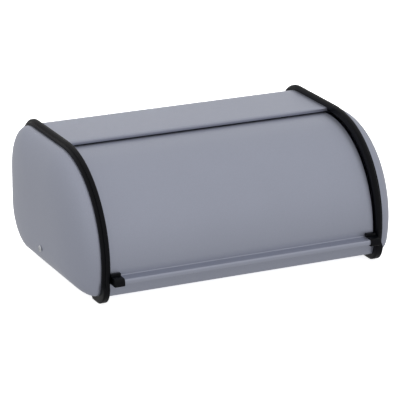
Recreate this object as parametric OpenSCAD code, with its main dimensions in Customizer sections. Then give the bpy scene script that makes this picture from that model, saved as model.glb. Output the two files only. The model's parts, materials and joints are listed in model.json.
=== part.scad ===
// Bread box with a roll-top lid. Millimetres, +Z up, front towards -Y.
// The origin is on the resting surface, under the middle of the whole box.

/* [Body] */
// Width of the opening, between the inner faces of the two trim rings
opening_w = 357.2; // [280:0.2:430]
// Height of the trim rings' ridge above the resting surface
body_h = 172; // [160:0.1:210]
// Depth of the trim rings, from front to back
body_d = 271.6; // [250:0.2:330]
// Radius of the rings' round front
front_r = 124.6; // [115:0.2:140]
// Radius of the front bottom corner
front_corner_r = 20; // [13:0.5:26]
// Radius of the rear top corner
rear_top_r = 51; // [36:1:70]
// Radius of the rear bottom corner
rear_bottom_r = 59.5; // [36:0.5:70]
// Thickness of the sheet steel
sheet_t = 0.8; // [0.6:0.1:1.2]
// How far the body sheet lies under the rings' ridge
body_inset = 6.5; // [5:0.5:9]
// How far the front rail's top lies below the handle's ledge
rail_below = 8; // [6:0.5:12]
// Depth of the rail's top flange
rail_flange = 9; // [6:0.5:14]
// How far the top panel's front lip lies behind the lid's pivot
lip_back = 10; // [6:0.5:20]
// Height of the turned-down lip, in all
lip_h = 4.8; // [3:0.1:5]
// Length of the notch in each ring in front of the lip's end
lip_notch_l = 4; // [2:0.5:8]
// Gap between the top of the lid and the lip's lower edge
lip_gap = 1.2; // [0.8:0.1:3]
// Radius of the body's front bottom bend
body_corner_r = 4; // [3:0.5:12]

/* [Trim rings] */
// Width of a ring, from the lid side to the cap side
ring_w = 9.4; // [8:0.2:14]
// Width of the ridge, the ring's highest band
ridge_w = 4; // [3:0.1:5]
// Width of the lower shoulder on the lid side of the ridge
shoulder_w = 1.6; // [1:0.1:3]
// Drop from the ridge to the shoulder on the lid side
shoulder_drop = 1.5; // [1:0.1:3]
// Drop from the ridge to the shoulder on the cap side
cap_shoulder_drop = 3.5; // [2:0.1:4.5]
// Depth of a ring's section, measured in from the ridge
ring_depth = 10.6; // [10:0.1:14]
// How far each foot stands out from its ring
foot_h = 2.4; // [0.8:0.1:4]
// Length of each foot along the floor
foot_l = 42; // [30:1:60]
// Height of the front foot, which wraps round the ring's corner
foot_wrap_h = 26; // [16:1:32]

/* [End caps] */
// How far the cap's flange lies under the ring's ridge
cap_inset = 7.5; // [7:0.1:8.5]
// Radius of the cap's front bottom corner
cap_corner_r = 10; // [7:0.5:10]
// Length of the cap's straight flange outside the ring
cap_straight = 2; // [1:0.5:6]
// Depth of the cap's dome, out from its flange
cap_depth = 28; // [20:0.5:34]
// How flat the dome's face is: the more, the flatter
cap_flatness = 3.5; // [2.5:0.1:5]
// How round the dome's edge is: the more, the squarer
cap_edge_power = 1.9; // [1.6:0.1:2.5]
// Height of the dome's middle above the lid's pivot
cap_middle_rise = 24.8; // [16:0.1:45]
// How much rounder the dome's rear corners grow from its rim to its middle
cap_rounding = 27; // [10:1:28]
// How much rounder the dome's front bottom corner grows
cap_front_rounding = 60; // [10:1:70]

/* [Lid] */
// How far the lid lies behind the front of the trim rings
lid_recess = 7.2; // [7:0.1:9]
// How far the lid's pivot lies behind the centre of the rings' front
pivot_back = 2.9; // [0:0.1:5]
// Gap between the lid's edge and each trim ring
lid_side_gap = 2.2; // [1.5:0.1:4]
// Lowest edge of the lid, in degrees above the level of the pivot
lid_start = -1.6; // [-3:0.1:0.5]
// Rear edge of the lid past the level of the pivot, in degrees
lid_end = 98; // [97:1:101]
// Depth of the handle's ledge, out from the lid
ledge_d = 16; // [12:0.5:18]
// Height of the handle's turned-down front
handle_drop = 6.5; // [6:0.5:9]
// Outer radius of the handle's two bends
handle_bend_r = 2.4; // [2:0.2:3]

/* [Lid arms and pivots] */
// Thickness of the lid's two side arms
arm_t = 1.2; // [1:0.1:2]
// Distance from the lid's edge to the arm
arm_inset = 1.5; // [1:0.5:4]
// Radius of an arm's hub
hub_r = 12; // [10:0.5:16]
// Half of the angle that an arm spreads over
arm_spread = 26; // [16:1:34]
// Width of the arm's flange, welded to the lid
arm_flange_w = 11; // [8:0.5:16]
// Thread radius of the pivot screw
screw_r = 2; // [1.5:0.25:3]
// Radius of the pivot screw's head
screw_head_r = 4.1; // [3.5:0.1:6]
// Height of the pivot screw's head
screw_head_h = 2.2; // [1.6:0.1:3]
// Running clearance of the bush on the screw, on the radius
bush_clear = 0.05; // [0.02:0.01:0.1]
// Radius of the bush's barrel, held in the arm
bush_r = 4; // [3.5:0.1:6]
// Radius of the bush's flanges
bush_flange_r = 6.5; // [5:0.1:9]
// Outer radius of the tube that spaces the arm from the cap
spacer_r = 5; // [4:0.1:7]

/* [Handle bumpers] */
// Width of a bumper along the handle
bumper_w = 12.5; // [8:0.5:18]
// Wall of a bumper around the handle's sheet
bumper_wall = 1.5; // [1:0.1:2]
// Height of a bumper's raised rear block above the ledge
bumper_rise = 4.5; // [3:0.5:8]
// Depth of the raised rear block
bumper_block_d = 5; // [3:0.5:7]
// How far the bumper's foot reaches back over the rail
bumper_foot_d = 6; // [3:0.5:8]

/* [Hidden] */

steel = "#9a9daa";
black = "#1d2026";
zinc = "#c9ccd1";
nylon = "#e6e4dc";

// Small gaps: around a sheet in its groove, around a screw, between welded faces, and over a stop.
groove_clear = 0.05;
slip = 0.15;
weld_gap = 0.05;
stop_gap = 0.1;

// The lid is concentric with its pivot, and fits under the top panel's lip and behind the rings' front.
lid_r = front_r + pivot_back - lid_recess;
pivot_h = body_h - body_inset - lip_h - lip_gap - lid_r;

// Where the box lies front to back: its front and back are equally far from the origin.
lid_reach = lid_r * cos(lid_start) + ledge_d + bumper_wall;
front_overhang = lid_reach - front_r - pivot_back;
ring_front = (front_overhang - body_d) / 2;
ring_back = ring_front + body_d;
ring_bottom = foot_h;
foot_root = ring_bottom + cap_shoulder_drop + 1;
pivot_y = ring_front + front_r + pivot_back;

// Places across the width, from the lid side outwards, and the height of the dome's middle.
ring_x = opening_w / 2;
cap_x = ring_x + ring_w;
web_t = 1.6;
web_x = ring_x + shoulder_w + (ridge_w - web_t) / 2;
dome_x = cap_x + cap_straight;
cap_middle_h = pivot_h + cap_middle_rise;
cap_face_x = dome_x + cap_depth;

// Heights and places of the body's bends, the lid's edge and the handle.
panel_z = body_h - body_inset;
lip_y = pivot_y + lip_back;
lip_half_w = ring_x + shoulder_w - slip;
lid_half_w = ring_x - lid_side_gap;
arm_x = lid_half_w - arm_inset;
ledge_z = pivot_h + lid_r * sin(lid_start);
lid_foot_y = pivot_y - lid_r * cos(lid_start);
ledge_front_y = lid_foot_y - ledge_d;
rail_top = ledge_z - rail_below;

// Depth of the rail's turned-down inner edge, and the gap between a bumper's front part and the rail.
rail_hem_h = 5;
rail_gap = 2;

// The stack on each pivot, from the nut inside to the head outside.
bush_flange_t = 1.2;
washer_t = 1;
side_play = 0.15;
nut_h = 4;
nut_x0 = arm_x - arm_t - bush_flange_t - weld_gap - side_play - nut_h;
washer_x1 = arm_x + weld_gap + bush_flange_t + side_play + washer_t;
screw_end = 1;
head_dome_r = 6;
socket_d = 1.5;
socket_r = 2.1;

// Steps along the arcs of the side outline, over a cap's dome, and round a small bend.
arc_steps = 10;
front_steps = 26;
dome_steps = 13;
bend_steps = 5;

// Points along one arc, from angle a to angle b, on a circle of radius r at c.
function arc_points(c, r, a, b, n = arc_steps) =
    [for (i = [0:n]) c + r * [cos(a + (b - a) * i / n), sin(a + (b - a) * i / n)]];

// The side outline as points in (Y, Z), moved in by inset. Its four corners keep keep_r of their radius.
function outline_points(inset, keep_r = 0, front_bend = 0) =
    let (
        r1 = (front_bend > 0 ? front_bend : front_corner_r - inset) + keep_r,
        r2 = rear_top_r - inset + keep_r,
        r3 = rear_bottom_r - inset + keep_r,
        big_r = front_r - inset,
        big_c = [ring_front + front_r, body_h - front_r],
        drop = big_c[1] - ring_bottom - inset - r1,
        run = sqrt(pow(big_r - r1, 2) - pow(drop, 2)),
        a = 180 + atan2(drop, run)
    )
    concat(
        arc_points([big_c[0] - run, ring_bottom + inset + r1], r1, 270, a),
        [for (i = [1:front_steps])
            let (turn = a + (90 - a) * i / front_steps)
            big_c + big_r * [cos(turn), sin(turn)]],
        arc_points([ring_back - inset - r2, body_h - inset - r2], r2, 90, 0),
        arc_points([ring_back - inset - r3, ring_bottom + inset + r3], r3, 0, -90)
    );

// Stands a (Y, Z) drawing up and gives it a thickness along +X from x0 to x1.
module across(x0, x1) {
    translate([x0, 0, 0])
        rotate([90, 0, 90])
            linear_extrude(x1 - x0) children();
}

// A solid block of the side outline from x0 to x1, moved in by inset.
module block(x0, x1, inset, front_bend = 0) {
    across(x0, x1) polygon(outline_points(inset, 0, front_bend));
}

// Places a part that is modelled on the right, on either side.
module on_side(side) {
    mirror([side == "left" ? 1 : 0, 0, 0]) children();
}

// A cylinder along +X on the pivot's axis.
module on_pivot(x0, x1, r, steps = 96) {
    translate([x0, pivot_y, pivot_h])
        rotate([0, 90, 0])
            cylinder(h = x1 - x0, r = r, $fn = steps);
}

// A tube along +X on the pivot's axis.
module tube_on_pivot(x0, x1, outer, inner, steps = 96) {
    difference() {
        on_pivot(x0, x1, outer, steps);
        on_pivot(x0 - 1, x1 + 1, inner, steps);
    }
}

// A stretch of tube about the pivot, from angle a0 to a1 over the level of its front.
module pivot_arc(x0, x1, outer, inner, a0, a1) {
    reach = 2 * outer;
    intersection() {
        tube_on_pivot(x0, x1, outer, inner, 180);
        across(x0 - 1, x1 + 1)
            polygon([[pivot_y, pivot_h], for (a = [a0, (a0 + a1) / 2, a1])
                [pivot_y - reach * cos(a), pivot_h + reach * sin(a)]]);
    }
}

// The front face of the rail at height z.
function rail_y(z) =
    ring_front + front_r - sqrt(pow(front_r - body_inset, 2) - pow(body_h - front_r - z, 2));

module body_shell() {
    half_w = web_x;
    rail_front = rail_y(rail_top);
    color(steel) {
        difference() {
            block(-half_w, half_w, body_inset, body_corner_r);
            block(-half_w - 1, half_w + 1, body_inset + sheet_t, body_corner_r - sheet_t);
            // The mouth, between the front rail and the top panel's lip.
            translate([-half_w - 1, ring_front, rail_top])
                cube([2 * half_w + 2, lip_y - ring_front, body_h]);
        }
        translate([-lip_half_w, lip_y, panel_z - lip_h])
            cube([2 * lip_half_w, sheet_t, lip_h - sheet_t / 2]);
        translate([-lid_half_w, rail_front + sheet_t / 2, rail_top - sheet_t])
            cube([2 * lid_half_w, rail_flange, sheet_t]);
        translate([-lid_half_w, rail_front + rail_flange, rail_top - rail_hem_h])
            cube([2 * lid_half_w, sheet_t, rail_hem_h]);
    }
}

// One moulded trim ring: a ridge between two shoulders, with a groove on each face for a sheet.
module trim_ring(side) {
    ridge_x = ring_x + shoulder_w;
    front_start = [[ring_front - foot_h, -1], [ring_front - foot_h, foot_wrap_h - foot_h],
        [ring_front + foot_root, foot_wrap_h + foot_root]];
    rear_y = ring_back - rear_bottom_r;
    rear_start = [[rear_y - foot_l + foot_h + 1, -1], [rear_y - foot_l + foot_h - foot_root, foot_root]];
    color(black)
        on_side(side)
            difference() {
                union() {
                    block(ring_x, cap_x, cap_shoulder_drop);
                    block(ring_x, ridge_x + ridge_w, shoulder_drop);
                    block(ridge_x, ridge_x + ridge_w, 0);
                    foot(ring_front + foot_l, front_start);
                    foot(rear_y, rear_start);
                }
                block(ring_x - 1, cap_x + 1, ring_depth);
                groove(ring_x - 1, web_x, body_inset, body_corner_r);
                groove(web_x + web_t, cap_x + 1, cap_inset, cap_corner_r);
                // The notch that takes the end of the top panel's lip.
                translate([ring_x - 1, lip_y - lip_notch_l, panel_z - lip_h - stop_gap])
                    cube([shoulder_w + 1, lip_notch_l + sheet_t + slip, body_h]);
            }
}

// The groove for a sheet whose outer face lies at inset, bent round front_bend at the front.
module groove(x0, x1, inset, front_bend) {
    depth = sheet_t + groove_clear;
    difference() {
        block(x0, x1, inset - groove_clear, front_bend + groove_clear);
        block(x0 - 1, x1 + 1, inset + depth, front_bend - depth);
    }
}

// A foot on the ring, from the start that the points bound to a sloping end at y on the floor.
module foot(y, start) {
    intersection() {
        block(ring_x + shoulder_w / 2, cap_x - shoulder_w / 2, -foot_h);
        across(ring_x, cap_x)
            polygon(concat(start, [[y - foot_h + foot_root, foot_root], [y - foot_h - 1, -1]]));
    }
}

// How far out the dome's outer face lies at a share q of the way from its middle to its rim.
function dome_at(q, depth = cap_depth) =
    dome_x + depth * pow(1 - pow(q, cap_flatness), 1 / cap_edge_power);

// The share q of a point straight under the dome's middle, at height z, with the rim moved in by t.
function dome_share(z, t = 0) = (cap_middle_h - z) / (cap_middle_h - ring_bottom - cap_inset - t);

// The outline of the cap at a share q of the way from its middle to its rim, with the rim moved in by t.
function cap_outline(q, t) =
    let (
        middle = [pivot_y, cap_middle_h],
        front_bend = cap_corner_r - t + (cap_front_rounding - cap_rounding) * (1 - q)
    )
    [for (p = outline_points(cap_inset + t, cap_rounding * (1 - q), front_bend))
        middle + q * (p - middle)];

// The pressed cap's skin as loops of points from the rim to the middle, moved in by t.
function cap_loops(t) =
    concat(
        [loop_at(cap_outline(1, t), web_x + web_t)],
        [for (i = [0:dome_steps])
            let (a = 90 * i / (dome_steps + 1), q = pow(cos(a), 2 / cap_flatness))
            loop_at(cap_outline(q, t), dome_at(q, cap_depth - t))]
    );

function loop_at(points, x) = [for (p = points) [x, p[0], p[1]]];

module end_cap(side) {
    outer = cap_loops(0);
    inner = cap_loops(sheet_t);
    m = len(outer);
    n = len(outer[0]);
    rows = 2 * m;
    points = [for (row = concat(outer, [for (i = [m - 1:-1:0]) inner[i]])) each row];
    walls = [for (i = [0:rows - 1], j = [0:n - 1])
        let (a = i * n + j, b = i * n + (j + 1) % n, c = ((i + 1) % rows) * n + j,
            d = ((i + 1) % rows) * n + (j + 1) % n)
        if (i != m - 1)
            each [[a, d, b], [a, c, d]]];
    lids = [[for (j = [0:n - 1]) (m - 1) * n + j], [for (j = [n - 1:-1:0]) m * n + j]];
    color(steel)
        on_side(side)
            difference() {
                polyhedron(points = points, faces = concat(walls, lids));
                on_pivot(dome_x, cap_face_x + 1, screw_r + slip);
            }
}

// The rolled lid: one sheet, bent out along its lower edge into a ledge and turned down as the handle.
module lid_sheet() {
    overlap = asin(sheet_t / 2 / lid_r);
    color(steel) {
        pivot_arc(-lid_half_w, lid_half_w, lid_r, lid_r - sheet_t, lid_start - overlap, lid_end);
        across(-lid_half_w, lid_half_w) polygon(handle_points(0));
    }
}

// The handle's section in (Y, Z), grown by g on every side.
function handle_points(g) =
    let (
        back = lid_foot_y + sheet_t / 2,
        bend_c = [ledge_front_y + handle_bend_r, ledge_z - handle_bend_r],
        low = ledge_z - handle_drop
    )
    concat(
        [[back, ledge_z + g]],
        arc_points(bend_c, handle_bend_r + g, 90, 180, bend_steps),
        [[ledge_front_y - g, low - g], [ledge_front_y + sheet_t + g, low - g]],
        arc_points(bend_c, handle_bend_r - sheet_t - g, 180, 90, bend_steps),
        [[back, ledge_z - sheet_t - g]]
    );

// A fan-shaped side arm with a flange welded inside the lid and a hub round the pivot.
module lid_arm(side) {
    from = (lid_start + lid_end) / 2 - arm_spread;
    to = from + 2 * arm_spread;
    outer_r = lid_r - sheet_t - weld_gap;
    color(steel)
        on_side(side)
            difference() {
                union() {
                    on_pivot(arm_x - arm_t, arm_x, hub_r);
                    pivot_arc(arm_x - arm_t, arm_x, outer_r, bush_r, from, to);
                    pivot_arc(arm_x - arm_flange_w, arm_x, outer_r, outer_r - arm_t, from, to);
                }
                on_pivot(arm_x - arm_t - 1, arm_x + 1, bush_r + weld_gap);
            }
}

// A moulded clip over the end of the handle, with a raised rear block and a foot over the rail.
module handle_bumper(side) {
    end_wall = 1;
    x0 = lid_half_w + end_wall - bumper_w;
    x1 = lid_half_w + end_wall;
    front = ledge_front_y - bumper_wall;
    back = lid_foot_y - stop_gap;
    low = ledge_z - handle_drop - bumper_wall;
    bend = handle_bend_r + bumper_wall;
    under = ledge_z - sheet_t - groove_clear;
    chin_y = rail_y(rail_top) - rail_gap;
    color(black)
        on_side(side)
            difference() {
                union() {
                    across(x0, x1) polygon(concat(
                        [[back, ledge_z + bumper_wall]],
                        arc_points([front + bend, ledge_z + bumper_wall - bend], bend, 90, 180, bend_steps),
                        arc_points([front + bumper_wall, low + bumper_wall], bumper_wall, 180, 270,
                            bend_steps),
                        [[chin_y, low], [chin_y, rail_top + stop_gap],
                            [lid_foot_y + bumper_foot_d, rail_top + stop_gap],
                            [lid_foot_y + bumper_foot_d, under], [back, under]]
                    ));
                    translate([x0, back - bumper_block_d, ledge_z])
                        cube([bumper_w, bumper_block_d, bumper_rise]);
                }
                // The slot that the handle's sheet sits in.
                across(x0 - 1, lid_half_w + groove_clear) polygon(handle_points(groove_clear));
            }
}

// A button-head socket screw from the outside of the cap to the nut inside the lid's arm.
module pivot_screw(side) {
    // The head rests on the highest point of the dome under it.
    head_x = dome_at(dome_share(pivot_h + screw_head_r)) + weld_gap;
    dome_a = asin(screw_head_r / head_dome_r);
    dome_c = [0, head_x + screw_head_h - head_dome_r];
    shank_x = nut_x0 - screw_end;
    color(zinc)
        on_side(side)
            difference() {
                translate([0, pivot_y, pivot_h])
                    rotate([0, 90, 0])
                        rotate_extrude($fn = 48)
                            polygon(concat(
                                [[0, shank_x], [screw_r, shank_x],
                                    [screw_r, head_x], [screw_head_r, head_x]],
                                arc_points(dome_c, head_dome_r, 90 - dome_a, 90, bend_steps)
                            ));
                on_pivot(head_x + screw_head_h - socket_d, head_x + screw_head_h + 1, socket_r, 6);
            }
}

// The tube that keeps the arm and the cap apart.
module pivot_spacer(side) {
    inside = dome_at(dome_share(pivot_h - spacer_r, sheet_t), cap_depth - sheet_t);
    color(nylon) on_side(side) tube_on_pivot(washer_x1, inside - stop_gap, spacer_r, screw_r + slip);
}

// The flanged bush, fixed in the arm's hub and turning on the screw.
module pivot_bush(side) {
    outside = arm_x + weld_gap;
    inside = arm_x - arm_t - weld_gap;
    color(nylon)
        on_side(side)
            difference() {
                union() {
                    on_pivot(inside - bush_flange_t, outside, bush_r);
                    on_pivot(outside, outside + bush_flange_t, bush_flange_r);
                    on_pivot(inside - bush_flange_t, inside, bush_flange_r);
                }
                on_pivot(nut_x0, washer_x1, screw_r + bush_clear);
            }
}

// The flat washer between the bush and the spacer.
module pivot_washer(side) {
    color(zinc) on_side(side) tube_on_pivot(washer_x1 - washer_t, washer_x1, bush_flange_r, screw_r + slip);
}

// The hexagon lock nut on the screw's inner end.
module pivot_nut(side) {
    color(zinc)
        on_side(side)
            difference() {
                translate([nut_x0, pivot_y, pivot_h])
                    rotate([0, 90, 0])
                        cylinder(h = nut_h, r = screw_r * 2, $fn = 6);
                on_pivot(nut_x0 - 1, nut_x0 + nut_h + 1, screw_r);
            }
}

body_shell();
end_cap("left");  // end_cap_left
end_cap("right");  // end_cap_right
trim_ring("left");  // trim_ring_left
trim_ring("right");  // trim_ring_right
lid_sheet();
lid_arm("left");  // lid_arm_left
lid_arm("right");  // lid_arm_right
handle_bumper("left");  // handle_bumper_left
handle_bumper("right");  // handle_bumper_right
pivot_screw("left");  // pivot_screw_left
pivot_screw("right");  // pivot_screw_right
pivot_spacer("left");  // pivot_spacer_left
pivot_spacer("right");  // pivot_spacer_right
pivot_bush("left");  // pivot_bush_left
pivot_bush("right");  // pivot_bush_right
pivot_washer("left");  // pivot_washer_left
pivot_washer("right");  // pivot_washer_right
pivot_nut("left");  // pivot_nut_left
pivot_nut("right");  // pivot_nut_right
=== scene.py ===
"""Bread box with a roll-top lid: the finished pieces, built around its fixed frame.

Laid out as an add-on with one operator for each group of pieces, and run as a script.
Lengths are metres: +X to the box's right, +Y to its back, +Z up.
"""
import json
import math

import bmesh
import bpy
from bpy.props import FloatProperty, FloatVectorProperty, PointerProperty
from mathutils import Matrix, Vector

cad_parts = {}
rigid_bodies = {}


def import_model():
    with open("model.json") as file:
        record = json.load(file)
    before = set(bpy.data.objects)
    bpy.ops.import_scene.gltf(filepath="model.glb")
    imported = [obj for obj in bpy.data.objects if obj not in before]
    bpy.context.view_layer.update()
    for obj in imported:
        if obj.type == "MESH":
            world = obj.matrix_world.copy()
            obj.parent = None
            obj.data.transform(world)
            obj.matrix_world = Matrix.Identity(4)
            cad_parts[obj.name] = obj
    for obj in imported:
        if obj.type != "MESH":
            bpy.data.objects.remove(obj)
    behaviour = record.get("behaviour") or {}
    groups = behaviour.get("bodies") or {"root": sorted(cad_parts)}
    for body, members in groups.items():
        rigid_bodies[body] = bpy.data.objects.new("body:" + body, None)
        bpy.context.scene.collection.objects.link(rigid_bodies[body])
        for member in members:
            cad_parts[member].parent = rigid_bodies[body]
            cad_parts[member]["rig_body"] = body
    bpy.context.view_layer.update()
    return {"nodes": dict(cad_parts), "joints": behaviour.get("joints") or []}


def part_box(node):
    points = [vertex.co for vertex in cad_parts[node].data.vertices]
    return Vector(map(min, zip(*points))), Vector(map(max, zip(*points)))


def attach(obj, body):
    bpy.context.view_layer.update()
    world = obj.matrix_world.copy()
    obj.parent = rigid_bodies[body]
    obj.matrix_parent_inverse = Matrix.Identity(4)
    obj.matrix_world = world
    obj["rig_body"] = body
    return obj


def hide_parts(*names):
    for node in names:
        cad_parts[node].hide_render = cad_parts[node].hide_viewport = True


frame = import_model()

bl_info = {
    "name": "Roll-top bread box",
    "version": (1, 0, 0),
    "blender": (4, 5, 0),
    "location": "3D View > Sidebar > Bread box",
    "description": "Builds the visible pieces of a steel bread box with a roll-top lid",
    "category": "Object",
}

MM = 0.001

# Places read from the frame.
RING_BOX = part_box("trim_ring_right")
LID_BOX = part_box("lid_sheet")
PIVOT = Vector(frame["joints"][0]["pos_m"])

RING_X, CAP_X = RING_BOX[0].x, RING_BOX[1].x
RING_FRONT, RING_BACK = RING_BOX[0].y, RING_BOX[1].y
TOP_Z = RING_BOX[1].z
LID_HALF_W = LID_BOX[1].x
LID_START, LID_END = math.radians(-1.6), math.radians(98)

# Ends of the sheets' edges, out from a ring's lid side: the cap's, the body's and the top lip's.
CAP_EDGE, BODY_EDGE, LIP_EDGE = 4.4 * MM, 2.8 * MM, 1.4 * MM
SIDES = (("left", -1), ("right", 1))


def linear(hex_colour):
    """The linear colour of an sRGB hex value."""
    parts = [int(hex_colour[i:i + 2], 16) / 255 for i in (1, 3, 5)]
    return tuple(c / 12.92 if c <= 0.04045 else ((c + 0.055) / 1.055) ** 2.4 for c in parts)


def length(name, description, default_mm):
    """A length property whose default is given in millimetres."""
    return FloatProperty(name=name, description=description, default=default_mm * MM,
                         subtype="DISTANCE", unit="LENGTH", precision=5)


def colour(name, description, hex_colour):
    """A colour property whose default is given as an sRGB hex value."""
    return FloatVectorProperty(name=name, description=description, default=linear(hex_colour),
                               subtype="COLOR", size=3, min=0, max=1)


# ---------------------------------------------------------------- sizes and colours

class BreadBoxSizes(bpy.types.PropertyGroup):
    """Sizes of the sheet metal and mouldings that the frame's boxes don't give."""
    sheet_t: length("Sheet", "Thickness of the sheet steel", 0.8)
    front_r: length("Front radius", "Radius of the trim rings' round front", 124.6)
    front_corner_r: length("Front corner", "Radius of the rings' front bottom corner", 20)
    rear_top_r: length("Rear top corner", "Radius of the rings' rear top corner", 51)
    rear_bottom_r: length("Rear bottom corner", "Radius of the rings' rear bottom corner", 59.5)
    foot_h: length("Foot height", "How far the feet stand out from the rings", 2.4)
    foot_l: length("Foot length", "Length of each foot along the floor", 42)
    foot_wrap_h: length("Foot wrap", "Height of the front foot round the ring's corner", 26)
    body_inset: length("Body inset", "How far the body sheet lies under the rings' ridge", 6.5)
    body_corner_r: length("Body front bend", "Radius of the body's front bottom bend", 4)
    cap_inset: length("Cap inset", "How far a cap's flange lies under the rings' ridge", 7.5)
    cap_corner_r: length("Cap corner", "Radius of a cap's front bottom corner", 10)
    cap_straight: length("Cap flange", "Straight part of a cap's flange outside its ring", 2)
    cap_depth: length("Cap depth", "Depth of a cap's dome", 28)
    cap_middle_h: length("Cap middle", "Height of the dome's middle above the floor", 64)
    cap_rounding: length("Cap rounding", "How much rounder the dome's rear corners grow inwards", 27)
    cap_front_rounding: length("Cap front rounding", "How much rounder the dome's front corner grows", 60)
    cap_flatness: FloatProperty(name="Cap flatness", description="How flat the dome's face is",
                                default=3.5, min=2, max=6)
    cap_edge_power: FloatProperty(name="Cap edge", description="How square the dome's edge is",
                                  default=1.9, min=1, max=3)
    lip_back: length("Lip setback", "How far the top lip lies behind the lid's pivot", 10)
    lip_h: length("Lip height", "Height of the top panel's turned-down lip", 4.8)
    rail_below: length("Rail drop", "How far the rail's top lies below the handle's ledge", 8)
    rail_flange: length("Rail flange", "Depth of the rail's top flange", 9)
    lid_r: length("Lid radius", "Outer radius of the lid about its pivot", 120.3)
    ledge_d: length("Ledge depth", "Depth of the handle's ledge", 16)
    handle_drop: length("Handle front", "Height of the handle's turned-down front", 6.5)


class BreadBoxColours(bpy.types.PropertyGroup):
    """Colours of the finishes."""
    lacquer: colour("Lacquer", "Grey metallic lacquer on the steel", "#a3a7b6")
    plastic: colour("Plastic", "Black of the moulded rings and bumpers", "#04050a")
    zinc: colour("Zinc", "Zinc plating on the fasteners", "#d4d6da")
    nylon: colour("Nylon", "Natural nylon of the bushes and spacers", "#dedbcf")
    floor: colour("Floor", "Pale studio floor", "#f6f6f6")


class BreadBoxStage(bpy.types.PropertyGroup):
    """The camera's place, and how strong the studio lights are."""
    azimuth: FloatProperty(name="Azimuth", description="Camera's angle to the left of the front",
                           default=math.radians(25.1), subtype="ANGLE")
    elevation: FloatProperty(name="Elevation", description="Camera's angle above the floor",
                             default=math.radians(18.48), subtype="ANGLE")
    distance: length("Distance", "From the camera to the point it looks at", 3143)
    lens: FloatProperty(name="Lens", description="Focal length on a 36 mm sensor, in millimetres",
                        default=226.5, min=1)
    target: FloatVectorProperty(name="Target", description="The point the camera looks at",
                                default=(0.8 * MM, 5.6 * MM, 67.6 * MM), subtype="XYZ", unit="LENGTH")
    top_light: FloatProperty(name="Top light", description="Power of the overhead softbox, in watts",
                             default=88, min=0)
    front_light: FloatProperty(name="Front light", description="Power of the front softbox, in watts",
                               default=9, min=0)
    side_light: FloatProperty(name="Side light", description="Power of the left softbox, in watts",
                              default=3, min=0)
    world: FloatProperty(name="Surround", description="Strength of the studio's surround, overhead",
                         default=0.8, min=0)
    world_low: FloatProperty(name="Low surround", description="Strength of the surround, below",
                             default=0.55, min=0)


# ---------------------------------------------------------------- outlines and meshes

def arc(centre, radius, start, end, steps):
    """Points on an arc, with angles in degrees from +Y towards +Z."""
    turns = [math.radians(start + (end - start) * i / steps) for i in range(steps + 1)]
    return [(centre[0] + radius * math.cos(t), centre[1] + radius * math.sin(t)) for t in turns]


def straight(a, b, steps):
    """Points between a and b, without the ends."""
    return [(a[0] + (b[0] - a[0]) * i / steps, a[1] + (b[1] - a[1]) * i / steps)
            for i in range(1, steps)]


def rounded(corners, steps=4, closed=True):
    """A path through corners (u, v, radius), each rounded by a curve that touches both its edges."""
    path = []
    count = len(corners)
    for i, (u, v, radius) in enumerate(corners):
        here = Vector((u, v))
        if radius <= 0 or (not closed and i in (0, count - 1)):
            path.append((u, v))
            continue
        before = Vector(corners[i - 1][:2]) - here
        after = Vector(corners[(i + 1) % count][:2]) - here
        half = before.angle(after) / 2
        reach = min(radius / math.tan(half), 0.49 * before.length, 0.49 * after.length)
        start, end = here + before.normalized() * reach, here + after.normalized() * reach
        radius = reach * math.tan(half)
        centre = here + (before.normalized() + after.normalized()).normalized() * (radius / math.sin(half))
        a, b = start - centre, end - centre
        sweep = a.angle_signed(b)
        for k in range(steps + 1):
            path.append(tuple(centre + Matrix.Rotation(-sweep * k / steps, 2) @ a))
    return path


def outline(sizes, inset, keep=0.0, front_bend=None):
    """The box's side outline moved in by inset, as named stretches of (Y, Z) points in order."""
    bottom = sizes.foot_h + inset
    r1 = (sizes.front_corner_r - inset if front_bend is None else front_bend) + keep
    r2, r3 = sizes.rear_top_r - inset + keep, sizes.rear_bottom_r - inset + keep
    big_r = sizes.front_r - inset
    big = (RING_FRONT + sizes.front_r, TOP_Z - sizes.front_r)
    drop = big[1] - bottom - r1
    run = math.sqrt((big_r - r1) ** 2 - drop ** 2)
    meet = 180 + math.degrees(math.atan2(drop, run))
    back, top = RING_BACK - inset, TOP_Z - inset
    corner = arc((big[0] - run, bottom + r1), r1, 270, meet, 16)
    front = arc(big, big_r, meet, 90, 120)[1:]
    rear_top = arc((back - r2, top - r2), r2, 90, 0, 20)
    rear_bottom = arc((back - r3, bottom + r3), r3, 0, -90, 22)
    return {
        "corner": corner, "front": front, "top": straight(front[-1], rear_top[0], 16),
        "rear_top": rear_top, "rear": straight(rear_top[-1], rear_bottom[0], 10),
        "rear_bottom": rear_bottom, "floor": straight(rear_bottom[-1], corner[0], 130),
    }


def loop(stretches):
    """The whole closed outline."""
    return [p for part in stretches.values() for p in part]


def ribbon(path, thickness):
    """The closed outline of a sheet whose middle follows path, with rounded edges."""
    half = thickness / 2
    points = [Vector(p) for p in path]
    normals = []
    for i, p in enumerate(points):
        ahead = points[min(i + 1, len(points) - 1)] - p
        behind = p - points[max(i - 1, 0)]
        direction = (ahead.normalized() + behind.normalized()).normalized()
        normals.append(Vector((-direction.y, direction.x)))
    near = [p + n * half for p, n in zip(points, normals)]
    far = [p - n * half for p, n in zip(points, normals)]

    def rounded_end(p, n, sign):
        return [p + Matrix.Rotation(sign * math.pi * k / 4, 2) @ (n * half) for k in (1, 2, 3)]

    last = rounded_end(points[-1], normals[-1], -1)
    first = rounded_end(points[0], -normals[0], -1)
    return [tuple(p) for p in near + last + far[::-1] + first]


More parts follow.
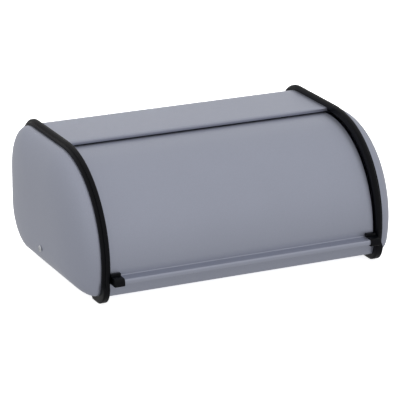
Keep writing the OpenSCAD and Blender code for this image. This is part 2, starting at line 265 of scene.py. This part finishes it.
def new_piece(name, verts, faces, material, body, replaced=(), sharp=40):
    """A smooth-shaded mesh object that rides on a body and stands for CAD nodes."""
    mesh = bpy.data.meshes.new(name)
    mesh.from_pydata([tuple(v) for v in verts], [], faces)
    build = bmesh.new()
    build.from_mesh(mesh)
    bmesh.ops.remove_doubles(build, verts=build.verts, dist=1e-7)
    bmesh.ops.recalc_face_normals(build, faces=build.faces)
    build.to_mesh(mesh)
    build.free()
    piece = bpy.data.objects.new(name, mesh)
    bpy.context.scene.collection.objects.link(piece)
    return finish_piece(piece, material, body, replaced, sharp)


def finish_piece(piece, material, body, replaced=(), sharp=40):
    """Gives a mesh its material, its shading, its body and the nodes that it stands for."""
    piece.data.materials.clear()
    piece.data.materials.append(material)
    piece.data.shade_smooth()
    piece.data.set_sharp_from_angle(angle=math.radians(sharp))
    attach(piece, body)
    if replaced:
        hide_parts(*replaced)
    return piece


def loft(rows, closed=False):
    """Vertices and quads over rows of equally many points, each row a closed ring."""
    count = len(rows[0])
    verts = [p for row in rows for p in row]
    last = len(rows) if closed else len(rows) - 1
    faces = []
    for i in range(last):
        a, b = i * count, ((i + 1) % len(rows)) * count
        for j in range(count):
            k = (j + 1) % count
            faces.append((a + j, a + k, b + k, b + j))
    return verts, faces


def bent_sheet(path, thickness, half_widths, steps=24):
    """A bent sheet across the box: its walls, and ends made of quads across the thickness."""
    section = ribbon(path, thickness)
    n, count = len(path), len(section)
    halves = (half_widths + [half_widths[-1]] * 3 + half_widths[::-1] + [half_widths[0]] * 3)
    rows = [[((2 * k / steps - 1) * half, y, z) for half, (y, z) in zip(halves, section)]
            for k in range(steps + 1)]
    verts, faces = loft(rows)
    for base in (0, len(verts) - count):
        for i in range(n - 1):
            faces.append((base + i, base + i + 1, base + 2 * n + 1 - i, base + 2 * n + 2 - i))
        faces.append(tuple(base + i for i in (n - 1, n, n + 1, n + 2, n + 3)))
        faces.append(tuple(base + i for i in (2 * n + 2, 2 * n + 3, 2 * n + 4, 2 * n + 5, 0)))
    return verts, faces


def apply_modifiers(piece):
    """Turns a piece's modifiers into its mesh."""
    bpy.context.view_layer.update()
    evaluated = piece.evaluated_get(bpy.context.evaluated_depsgraph_get())
    mesh = bpy.data.meshes.new_from_object(evaluated)
    piece.modifiers.clear()
    piece.data = mesh


def soften(node, width, material, segments=2):
    """A copy of a CAD node with rounded edges, which stands for it."""
    source = frame["nodes"][node]
    piece = bpy.data.objects.new(node + "_softened", source.data.copy())
    bpy.context.scene.collection.objects.link(piece)
    build = bmesh.new()
    build.from_mesh(piece.data)
    bmesh.ops.remove_doubles(build, verts=build.verts, dist=1e-6)
    bmesh.ops.dissolve_limit(build, angle_limit=math.radians(0.5), verts=build.verts, edges=build.edges)
    build.to_mesh(piece.data)
    build.free()
    bevel = piece.modifiers.new("rounded_edges", "BEVEL")
    bevel.width = width
    bevel.segments = segments
    bevel.limit_method = "ANGLE"
    bevel.angle_limit = math.radians(40)
    bevel.use_clamp_overlap = True
    apply_modifiers(piece)
    return finish_piece(piece, material, source["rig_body"], (node,), 35)


# ---------------------------------------------------------------- materials

def add_node(tree, kind, settings=None, inputs=None):
    """Adds one shader node. An input is a value, or another node's output to link."""
    node = tree.nodes.new(kind)
    for name, value in (settings or {}).items():
        setattr(node, name, value)
    for name, value in (inputs or {}).items():
        if isinstance(value, bpy.types.NodeSocket):
            tree.links.new(value, node.inputs[name])
        else:
            node.inputs[name].default_value = value
    return node


def new_material(name):
    """An empty node material, with its tree."""
    material = bpy.data.materials.new(name)
    material.use_nodes = True
    material.node_tree.nodes.clear()
    return material, material.node_tree


def set_surface(tree, colour_in, roughness, height, bump_mm, settings):
    """Ends a material in one principled shader with a bump of bump_mm."""
    bump = add_node(tree, "ShaderNodeBump", None,
                    {"Height": height, "Distance": bump_mm * MM, "Strength": 1.0})
    inputs = {"Base Color": colour_in, "Roughness": roughness, "Normal": bump.outputs[0]}
    inputs.update(settings)
    shader = add_node(tree, "ShaderNodeBsdfPrincipled", None, inputs)
    output = add_node(tree, "ShaderNodeOutputMaterial")
    tree.links.new(shader.outputs[0], output.inputs["Surface"])


def noise(tree, place, size_mm, detail=2.0, roughness=0.5):
    """Noise whose largest features are size_mm across."""
    return add_node(tree, "ShaderNodeTexNoise", None,
                    {"Vector": place, "Scale": 1 / (size_mm * MM), "Detail": detail,
                     "Roughness": roughness}).outputs["Fac"]


def scaled(tree, value, low, high):
    """A value from 0 to 1, spread from low to high."""
    return add_node(tree, "ShaderNodeMapRange", None,
                    {"Value": value, "To Min": low, "To Max": high}).outputs["Result"]


def lacquered_steel(colours):
    """Pressed steel with a sprayed metallic lacquer.

    Aluminium flake under a satin clear coat: a wide soft gloss, a faint sparkle and slight
    orange peel.
    """
    material, tree = new_material("lacquered_steel_sprayed")
    place = add_node(tree, "ShaderNodeTexCoord").outputs["Object"]
    # Real flake is about 0.03 mm; it is drawn at 0.5 mm so that it shows.
    flake = add_node(tree, "ShaderNodeTexVoronoi", {"feature": "F1"},
                     {"Vector": place, "Scale": 1 / (0.5 * MM)}).outputs["Color"]
    sparkle = add_node(tree, "ShaderNodeSeparateColor", None, {"Color": flake}).outputs[0]
    cloud = noise(tree, place, 60, 3)
    shade = add_node(tree, "ShaderNodeMath", {"operation": "MULTIPLY"},
                     {0: scaled(tree, sparkle, 0.965, 1.035),
                      1: scaled(tree, cloud, 0.975, 1.02)}).outputs[0]
    tint = add_node(tree, "ShaderNodeVectorMath", {"operation": "SCALE"},
                    {0: colours.lacquer, "Scale": shade}).outputs[0]
    gloss = scaled(tree, noise(tree, place, 6, 3), 0.34, 0.40)
    peel = noise(tree, place, 1.8, 2)
    set_surface(tree, tint, gloss, peel, 0.012,
                {"Metallic": 0.7, "Coat Weight": 0.1, "Coat Roughness": 0.3})
    return material


def moulded_plastic(colours):
    """Black ABS from a spark-eroded mould: a fine even grain that greys the highlights."""
    material, tree = new_material("abs_moulded_black")
    place = add_node(tree, "ShaderNodeTexCoord").outputs["Object"]
    grain = noise(tree, place, 0.6, 3, 0.6)
    handling = noise(tree, place, 25, 3)
    tint = add_node(tree, "ShaderNodeVectorMath", {"operation": "SCALE"},
                    {0: colours.plastic, "Scale": scaled(tree, handling, 0.85, 1.2)}).outputs[0]
    set_surface(tree, tint, scaled(tree, handling, 0.36, 0.46), grain, 0.02,
                {"IOR": 1.54, "Specular IOR Level": 0.12})
    return material


def zinc_plated_steel(colours):
    """Turned steel with bright zinc plating: fine rings from the turning, and cloudy brightness."""
    material, tree = new_material("zinc_plated_steel_turned")
    place = add_node(tree, "ShaderNodeTexCoord").outputs["Object"]
    centred = add_node(tree, "ShaderNodeVectorMath", {"operation": "SUBTRACT"},
                       {0: place, 1: (0, PIVOT.y, PIVOT.z)}).outputs[0]
    # The tool's marks are about 0.1 mm apart, drawn at 0.5 mm; a wave repeats 20 times a unit.
    rings = add_node(tree, "ShaderNodeTexWave", {"wave_type": "RINGS", "rings_direction": "X"},
                     {"Vector": centred, "Scale": 1 / (20 * 0.5 * MM), "Distortion": 0.6}).outputs["Fac"]
    cloud = noise(tree, place, 1.5, 3)
    tint = add_node(tree, "ShaderNodeVectorMath", {"operation": "SCALE"},
                    {0: colours.zinc, "Scale": scaled(tree, cloud, 0.85, 1.05)}).outputs[0]
    set_surface(tree, tint, scaled(tree, cloud, 0.22, 0.34), rings, 0.01, {"Metallic": 1.0})
    return material


def natural_nylon(colours):
    """Moulded natural nylon: milky, slightly translucent and satin."""
    material, tree = new_material("nylon_moulded_natural")
    place = add_node(tree, "ShaderNodeTexCoord").outputs["Object"]
    cloud = noise(tree, place, 4, 3)
    tint = add_node(tree, "ShaderNodeVectorMath", {"operation": "SCALE"},
                    {0: colours.nylon, "Scale": scaled(tree, cloud, 0.93, 1.03)}).outputs[0]
    set_surface(tree, tint, scaled(tree, cloud, 0.4, 0.5), noise(tree, place, 0.8), 0.01,
                {"IOR": 1.53, "Subsurface Weight": 0.15, "Subsurface Radius": (0.002, 0.002, 0.0015)})
    return material


def material_named(name, make):
    """The scene's one material of that kind, made on first use."""
    return bpy.data.materials.get(name) or make(bpy.context.scene.bread_box_colours)


def steel():
    return material_named("lacquered_steel_sprayed", lacquered_steel)


def plastic():
    return material_named("abs_moulded_black", moulded_plastic)


def zinc():
    return material_named("zinc_plated_steel_turned", zinc_plated_steel)


def nylon():
    return material_named("nylon_moulded_natural", natural_nylon)


# ---------------------------------------------------------------- operators

class BREADBOX_OT_stage(bpy.types.Operator):
    """Camera, studio lights and pale floor"""
    bl_idname = "bread_box.stage"
    bl_label = "Stage"

    def execute(self, context):
        scene, stage = context.scene, context.scene.bread_box_stage
        target = Vector(stage.target)
        away = Vector((-math.sin(stage.azimuth) * math.cos(stage.elevation),
                       -math.cos(stage.azimuth) * math.cos(stage.elevation), math.sin(stage.elevation)))
        camera = bpy.data.objects.new("camera", bpy.data.cameras.new("camera"))
        camera.data.lens = stage.lens
        camera.data.sensor_width = 36
        camera.data.clip_end = 100
        camera.location = target + away * stage.distance
        camera.rotation_euler = (-away).to_track_quat("-Z", "Y").to_euler()
        scene.collection.objects.link(camera)
        scene.camera = camera

        self.light(scene, "top_softbox", (0.8, 2.6, 0.8), (0, 0, 0.1), 0.7, stage.top_light)
        self.light(scene, "front_softbox", (0.7, -2.3, 1.3), (0, 0, 0.1), 1.6, stage.front_light)
        self.light(scene, "left_softbox", (-2.2, -0.9, 1.1), (0, 0, 0.1), 1.4, stage.side_light)

        bpy.ops.mesh.primitive_plane_add(size=30)
        floor = context.object
        floor.name = "floor"
        material, tree = new_material("studio_floor")
        place = add_node(tree, "ShaderNodeTexCoord").outputs["Object"]
        tint = add_node(tree, "ShaderNodeVectorMath", {"operation": "SCALE"},
                        {0: scene.bread_box_colours.floor,
                         "Scale": scaled(tree, noise(tree, place, 400, 2), 0.99, 1.0)}).outputs[0]
        set_surface(tree, tint, 0.9, noise(tree, place, 3), 0.01,
                    {"Specular IOR Level": 0.1, "Emission Color": (1, 1, 1, 1), "Emission Strength": 0.8})
        floor.data.materials.append(material)
        floor.visible_glossy = floor.visible_diffuse = False

        world = bpy.data.worlds.new("studio_surround")
        world.use_nodes = True
        tree = world.node_tree
        height = add_node(tree, "ShaderNodeSeparateXYZ", None,
                          {0: add_node(tree, "ShaderNodeTexCoord").outputs["Generated"]}).outputs["Z"]
        strength = add_node(tree, "ShaderNodeMapRange", None,
                            {"Value": height, "From Min": -0.6, "From Max": 0.9,
                             "To Min": stage.world_low, "To Max": stage.world}).outputs["Result"]
        tree.nodes["Background"].inputs["Color"].default_value = (1, 1, 1, 1)
        tree.links.new(strength, tree.nodes["Background"].inputs["Strength"])
        scene.world = world
        scene.view_settings.view_transform = "Standard"
        return {"FINISHED"}

    def light(self, scene, name, place, target, size, power):
        """One square softbox that faces a target."""
        data = bpy.data.lights.new(name, "AREA")
        data.size = size
        data.energy = power
        lamp = bpy.data.objects.new(name, data)
        lamp.location = place
        lamp.visible_glossy = False
        lamp.rotation_euler = (Vector(target) - Vector(place)).to_track_quat("-Z", "Y").to_euler()
        scene.collection.objects.link(lamp)


class BREADBOX_OT_trim_rings(bpy.types.Operator):
    """The two black moulded rings between the body and its end caps"""
    bl_idname = "bread_box.trim_rings"
    bl_label = "Trim rings"

    def execute(self, context):
        sizes = context.scene.bread_box_sizes
        for side, sign in SIDES:
            rows = [self.row(sizes, sign * (RING_X + x * MM), inset * MM, edge * MM)
                    for x, inset, edge in self.section()]
            verts, faces = loft(rows, closed=True)
            new_piece("trim_ring_" + side + "_moulded", verts, faces, plastic(), "case",
                      ("trim_ring_" + side,), 50)
        return {"FINISHED"}

    def section(self):
        """The ring's section in mm: from the lid side, under the ridge, and under a foot's face."""
        corners = [(0, 10.4, 0.4), (0, 1.9, 0.7), (1.7, 0.0, 0.9), (5.5, 0.0, 1.3), (6.1, 3.6, 0.5),
                   (9.2, 3.9, 0.8), (9.4, 10.4, 0.4)]
        return [(x, inset, 5 * max(0, 0.9 - min(x, 9.4 - x)) ** 2) for x, inset in rounded(corners, 5)]

    def row(self, sizes, x, inset, edge):
        """One line round the ring, let out to the foot's face where the feet are."""
        base = loop(outline(sizes, 0))
        plain = loop(outline(sizes, inset))
        if inset > 6 * MM:
            return [(x, y, z) for y, z in plain]
        full = loop(outline(sizes, edge - sizes.foot_h))
        row = []
        for k, (y, z) in enumerate(plain):
            share = self.foot(sizes, *base[k])
            row.append((x, y + share * (full[k][0] - y), z + share * (full[k][1] - z)))
        return row

    def foot(self, sizes, y, z):
        """How much of a foot there is at a place on the outline, from 0 to 1."""
        if z > sizes.foot_wrap_h:
            return 0.0
        rear_end = RING_BACK - sizes.rear_bottom_r
        front = min(sizes.foot_wrap_h - z, RING_FRONT + sizes.foot_l - y)
        rear = min(y - rear_end + sizes.foot_l, rear_end - y)
        share = min(1.0, max(0.0, max(front, rear) / (2 * sizes.foot_h)))
        return share * share * (3 - 2 * share)


class BREADBOX_OT_end_caps(bpy.types.Operator):
    """The two domed steel end caps"""
    bl_idname = "bread_box.end_caps"
    bl_label = "End caps"

    def execute(self, context):
        sizes = context.scene.bread_box_sizes
        for side, sign in SIDES:
            outer = self.skin(sizes, sign, 0.0)
            inner = self.skin(sizes, sign, sizes.sheet_t)
            rows = outer[::-1] + inner
            verts, faces = loft(rows)
            count = len(rows[0])
            for start in (0, len(verts) - count):
                verts.append(tuple(sum((Vector(p) for p in verts[start:start + count]), Vector()) / count))
                middle = len(verts) - 1
                faces += [(start + j, start + (j + 1) % count, middle) for j in range(count)]
            new_piece("end_cap_" + side + "_pressed", verts, faces, steel(), "case",
                      ("end_cap_" + side,), 60)
        return {"FINISHED"}

    def skin(self, sizes, sign, t):
        """Closed lines over the cap, from its rim to its middle, moved in by t."""
        dome_x = CAP_X + sizes.cap_straight
        middle = Vector((PIVOT.y, sizes.cap_middle_h))
        lines = [(x, 1.0) for x in (RING_X + CAP_EDGE, CAP_X - 1 * MM, dome_x - 0.7 * MM)]
        steps = 44
        for i in range(steps):
            turn = math.pi / 2 * i / steps
            out = (sizes.cap_depth - t) * math.sin(turn) ** (2 / sizes.cap_edge_power)
            lines.append((dome_x + out, math.cos(turn) ** (2 / sizes.cap_flatness)))
        skin = []
        for x, share in lines:
            front = sizes.cap_corner_r - t + (sizes.cap_front_rounding - sizes.cap_rounding) * (1 - share)
            rim = outline(sizes, sizes.cap_inset + t, sizes.cap_rounding * (1 - share), front)
            skin.append([(sign * x, *(middle + share * (Vector(p) - middle))) for p in loop(rim)])
        return skin


class BREADBOX_OT_body(bpy.types.Operator):
    """The one bent sheet that makes the front rail, floor, back and top panel"""
    bl_idname = "bread_box.body"
    bl_label = "Body"

    def execute(self, context):
        sizes = context.scene.bread_box_sizes
        t = sizes.sheet_t
        parts = outline(sizes, sizes.body_inset + t / 2, 0.0, sizes.body_corner_r - t / 2)
        lip_y = PIVOT.y + sizes.lip_back + t / 2
        panel_z = TOP_Z - sizes.body_inset - t / 2
        rail_z = PIVOT.z + sizes.lid_r * math.sin(LID_START) - sizes.rail_below - t / 2
        rise = [p for p in parts["corner"] + parts["front"] if p[1] < rail_z - 2 * MM]
        big_y, big_z = RING_FRONT + sizes.front_r, TOP_Z - sizes.front_r
        bend_r = sizes.front_r - sizes.body_inset - t / 2
        rail_y = big_y - math.sqrt(bend_r ** 2 - (big_z - rail_z) ** 2)
        flange_y = rail_y + sizes.rail_flange
        lip_low = TOP_Z - sizes.body_inset - sizes.lip_h + t / 2
        lip = rounded([(lip_y, lip_low, 0), (lip_y, panel_z, 1.6 * MM),
                       (lip_y + 12 * MM, panel_z, 0)], 6, closed=False)
        rail = rounded([(*rise[-1], 0), (rail_y, rail_z, 1.6 * MM), (flange_y, rail_z, 1.4 * MM),
                        (flange_y, rail_z - 4.6 * MM, 0)], 6, closed=False)
        path = (lip + [p for p in parts["top"] if p[0] > lip_y + 13 * MM] + parts["rear_top"]
                + parts["rear"] + parts["rear_bottom"] + parts["floor"] + rise[:-1] + rail)
        web, lip_half = RING_X + BODY_EDGE, RING_X + LIP_EDGE
        halves = [lip_half if p[0] < lip_y + 1.5 * MM and p[1] > PIVOT.z else
                  LID_HALF_W if p[1] > rail_z - 1.2 * MM and p[0] < 0 else web for p in path]
        verts, faces = bent_sheet(path, t, halves)
        new_piece("body_sheet_bent", verts, faces, steel(), "case",
                  ("body_shell",), 50)
        return {"FINISHED"}


class BREADBOX_OT_lid(bpy.types.Operator):
    """The rolled lid with its ledge handle, and the arms that carry it"""
    bl_idname = "bread_box.lid"
    bl_label = "Lid"

    def execute(self, context):
        sizes = context.scene.bread_box_sizes
        t = sizes.sheet_t
        middle_r = sizes.lid_r - t / 2
        ledge_z = PIVOT.z + sizes.lid_r * math.sin(LID_START) - t / 2
        foot_y = PIVOT.y - middle_r
        front_y = PIVOT.y - sizes.lid_r - sizes.ledge_d + t / 2
        # The rear edge is folded back under the lid, and the handle's front edge is turned in and up.
        end = math.degrees(LID_END) - 0.8
        hem = self.turned(middle_r - 1.9 * MM, end - 4.2, end, 4)
        drop_z, turned_y = ledge_z - sizes.handle_drop + 1.2 * MM, front_y + 1.7 * MM
        bend = rounded([(foot_y, ledge_z + 8 * MM, 0), (foot_y, ledge_z, 1.5 * MM),
                        (front_y, ledge_z, 2 * MM), (front_y, drop_z, 0.9 * MM),
                        (turned_y, drop_z, 0.7 * MM), (turned_y, ledge_z - 3.6 * MM, 0)],
                       6, closed=False)
        roll = [p for p in self.turned(middle_r, end, 0, 110) if p[1] > ledge_z + 8.5 * MM]
        path = hem + roll + bend
        verts, faces = bent_sheet(path, t, [LID_HALF_W] * len(path))
        new_piece("lid_sheet_rolled", verts, faces, steel(), "lid",
                  ("lid_sheet",), 50)
        for side, _ in SIDES:
            soften("lid_arm_" + side, 0.35 * MM, steel())
        return {"FINISHED"}

    def on_lid(self, radius, degrees):
        """A (Y, Z) point at an angle over the front's level."""
        turn = math.radians(degrees)
        return PIVOT.y - radius * math.cos(turn), PIVOT.z + radius * math.sin(turn)

    def turned(self, radius, start, end, steps):
        """Points round the pivot from one angle to another."""
        return [self.on_lid(radius, start + (end - start) * i / steps) for i in range(steps + 1)]


class BREADBOX_OT_bumpers(bpy.types.Operator):
    """The black moulded clips over the ends of the handle"""
    bl_idname = "bread_box.bumpers"
    bl_label = "Handle bumpers"

    def execute(self, context):
        for side, _ in SIDES:
            soften("handle_bumper_" + side, 0.6 * MM, plastic(), 3)
        return {"FINISHED"}


class BREADBOX_OT_pivots(bpy.types.Operator):
    """Screws, nuts, washers, bushes and spacer tubes of the two pivots"""
    bl_idname = "bread_box.pivots"
    bl_label = "Pivots"

    def execute(self, context):
        for side, _ in SIDES:
            soften("pivot_screw_" + side, 0.2 * MM, zinc())
            soften("pivot_nut_" + side, 0.3 * MM, zinc())
            soften("pivot_washer_" + side, 0.15 * MM, zinc())
            soften("pivot_bush_" + side, 0.2 * MM, nylon())
            soften("pivot_spacer_" + side, 0.3 * MM, nylon())
        return {"FINISHED"}


class BREADBOX_PT_pieces(bpy.types.Panel):
    """Lists the bread box's pieces and sizes"""
    bl_idname = "BREADBOX_PT_pieces"
    bl_label = "Bread box"
    bl_space_type = "VIEW_3D"
    bl_region_type = "UI"
    bl_category = "Bread box"

    def draw(self, context):
        for operator in OPERATORS:
            self.layout.operator(operator.bl_idname)
        for group in (context.scene.bread_box_sizes, context.scene.bread_box_colours,
                      context.scene.bread_box_stage):
            column = self.layout.column(align=True)
            for name in group.__annotations__:
                column.prop(group, name)


GROUPS = (BreadBoxSizes, BreadBoxColours, BreadBoxStage)
OPERATORS = (BREADBOX_OT_stage, BREADBOX_OT_trim_rings, BREADBOX_OT_end_caps, BREADBOX_OT_body,
             BREADBOX_OT_lid, BREADBOX_OT_bumpers, BREADBOX_OT_pivots)


def register():
    for cls in GROUPS + OPERATORS + (BREADBOX_PT_pieces,):
        bpy.utils.register_class(cls)
    bpy.types.Scene.bread_box_sizes = PointerProperty(type=BreadBoxSizes)
    bpy.types.Scene.bread_box_colours = PointerProperty(type=BreadBoxColours)
    bpy.types.Scene.bread_box_stage = PointerProperty(type=BreadBoxStage)


def unregister():
    for name in ("bread_box_stage", "bread_box_colours", "bread_box_sizes"):
        delattr(bpy.types.Scene, name)
    for cls in reversed(GROUPS + OPERATORS + (BREADBOX_PT_pieces,)):
        bpy.utils.unregister_class(cls)


def main():
    register()
    bpy.ops.bread_box.stage()
    bpy.ops.bread_box.trim_rings()
    bpy.ops.bread_box.end_caps()
    bpy.ops.bread_box.body()
    bpy.ops.bread_box.lid()
    bpy.ops.bread_box.bumpers()
    bpy.ops.bread_box.pivots()


if __name__ == "__main__":
    main()
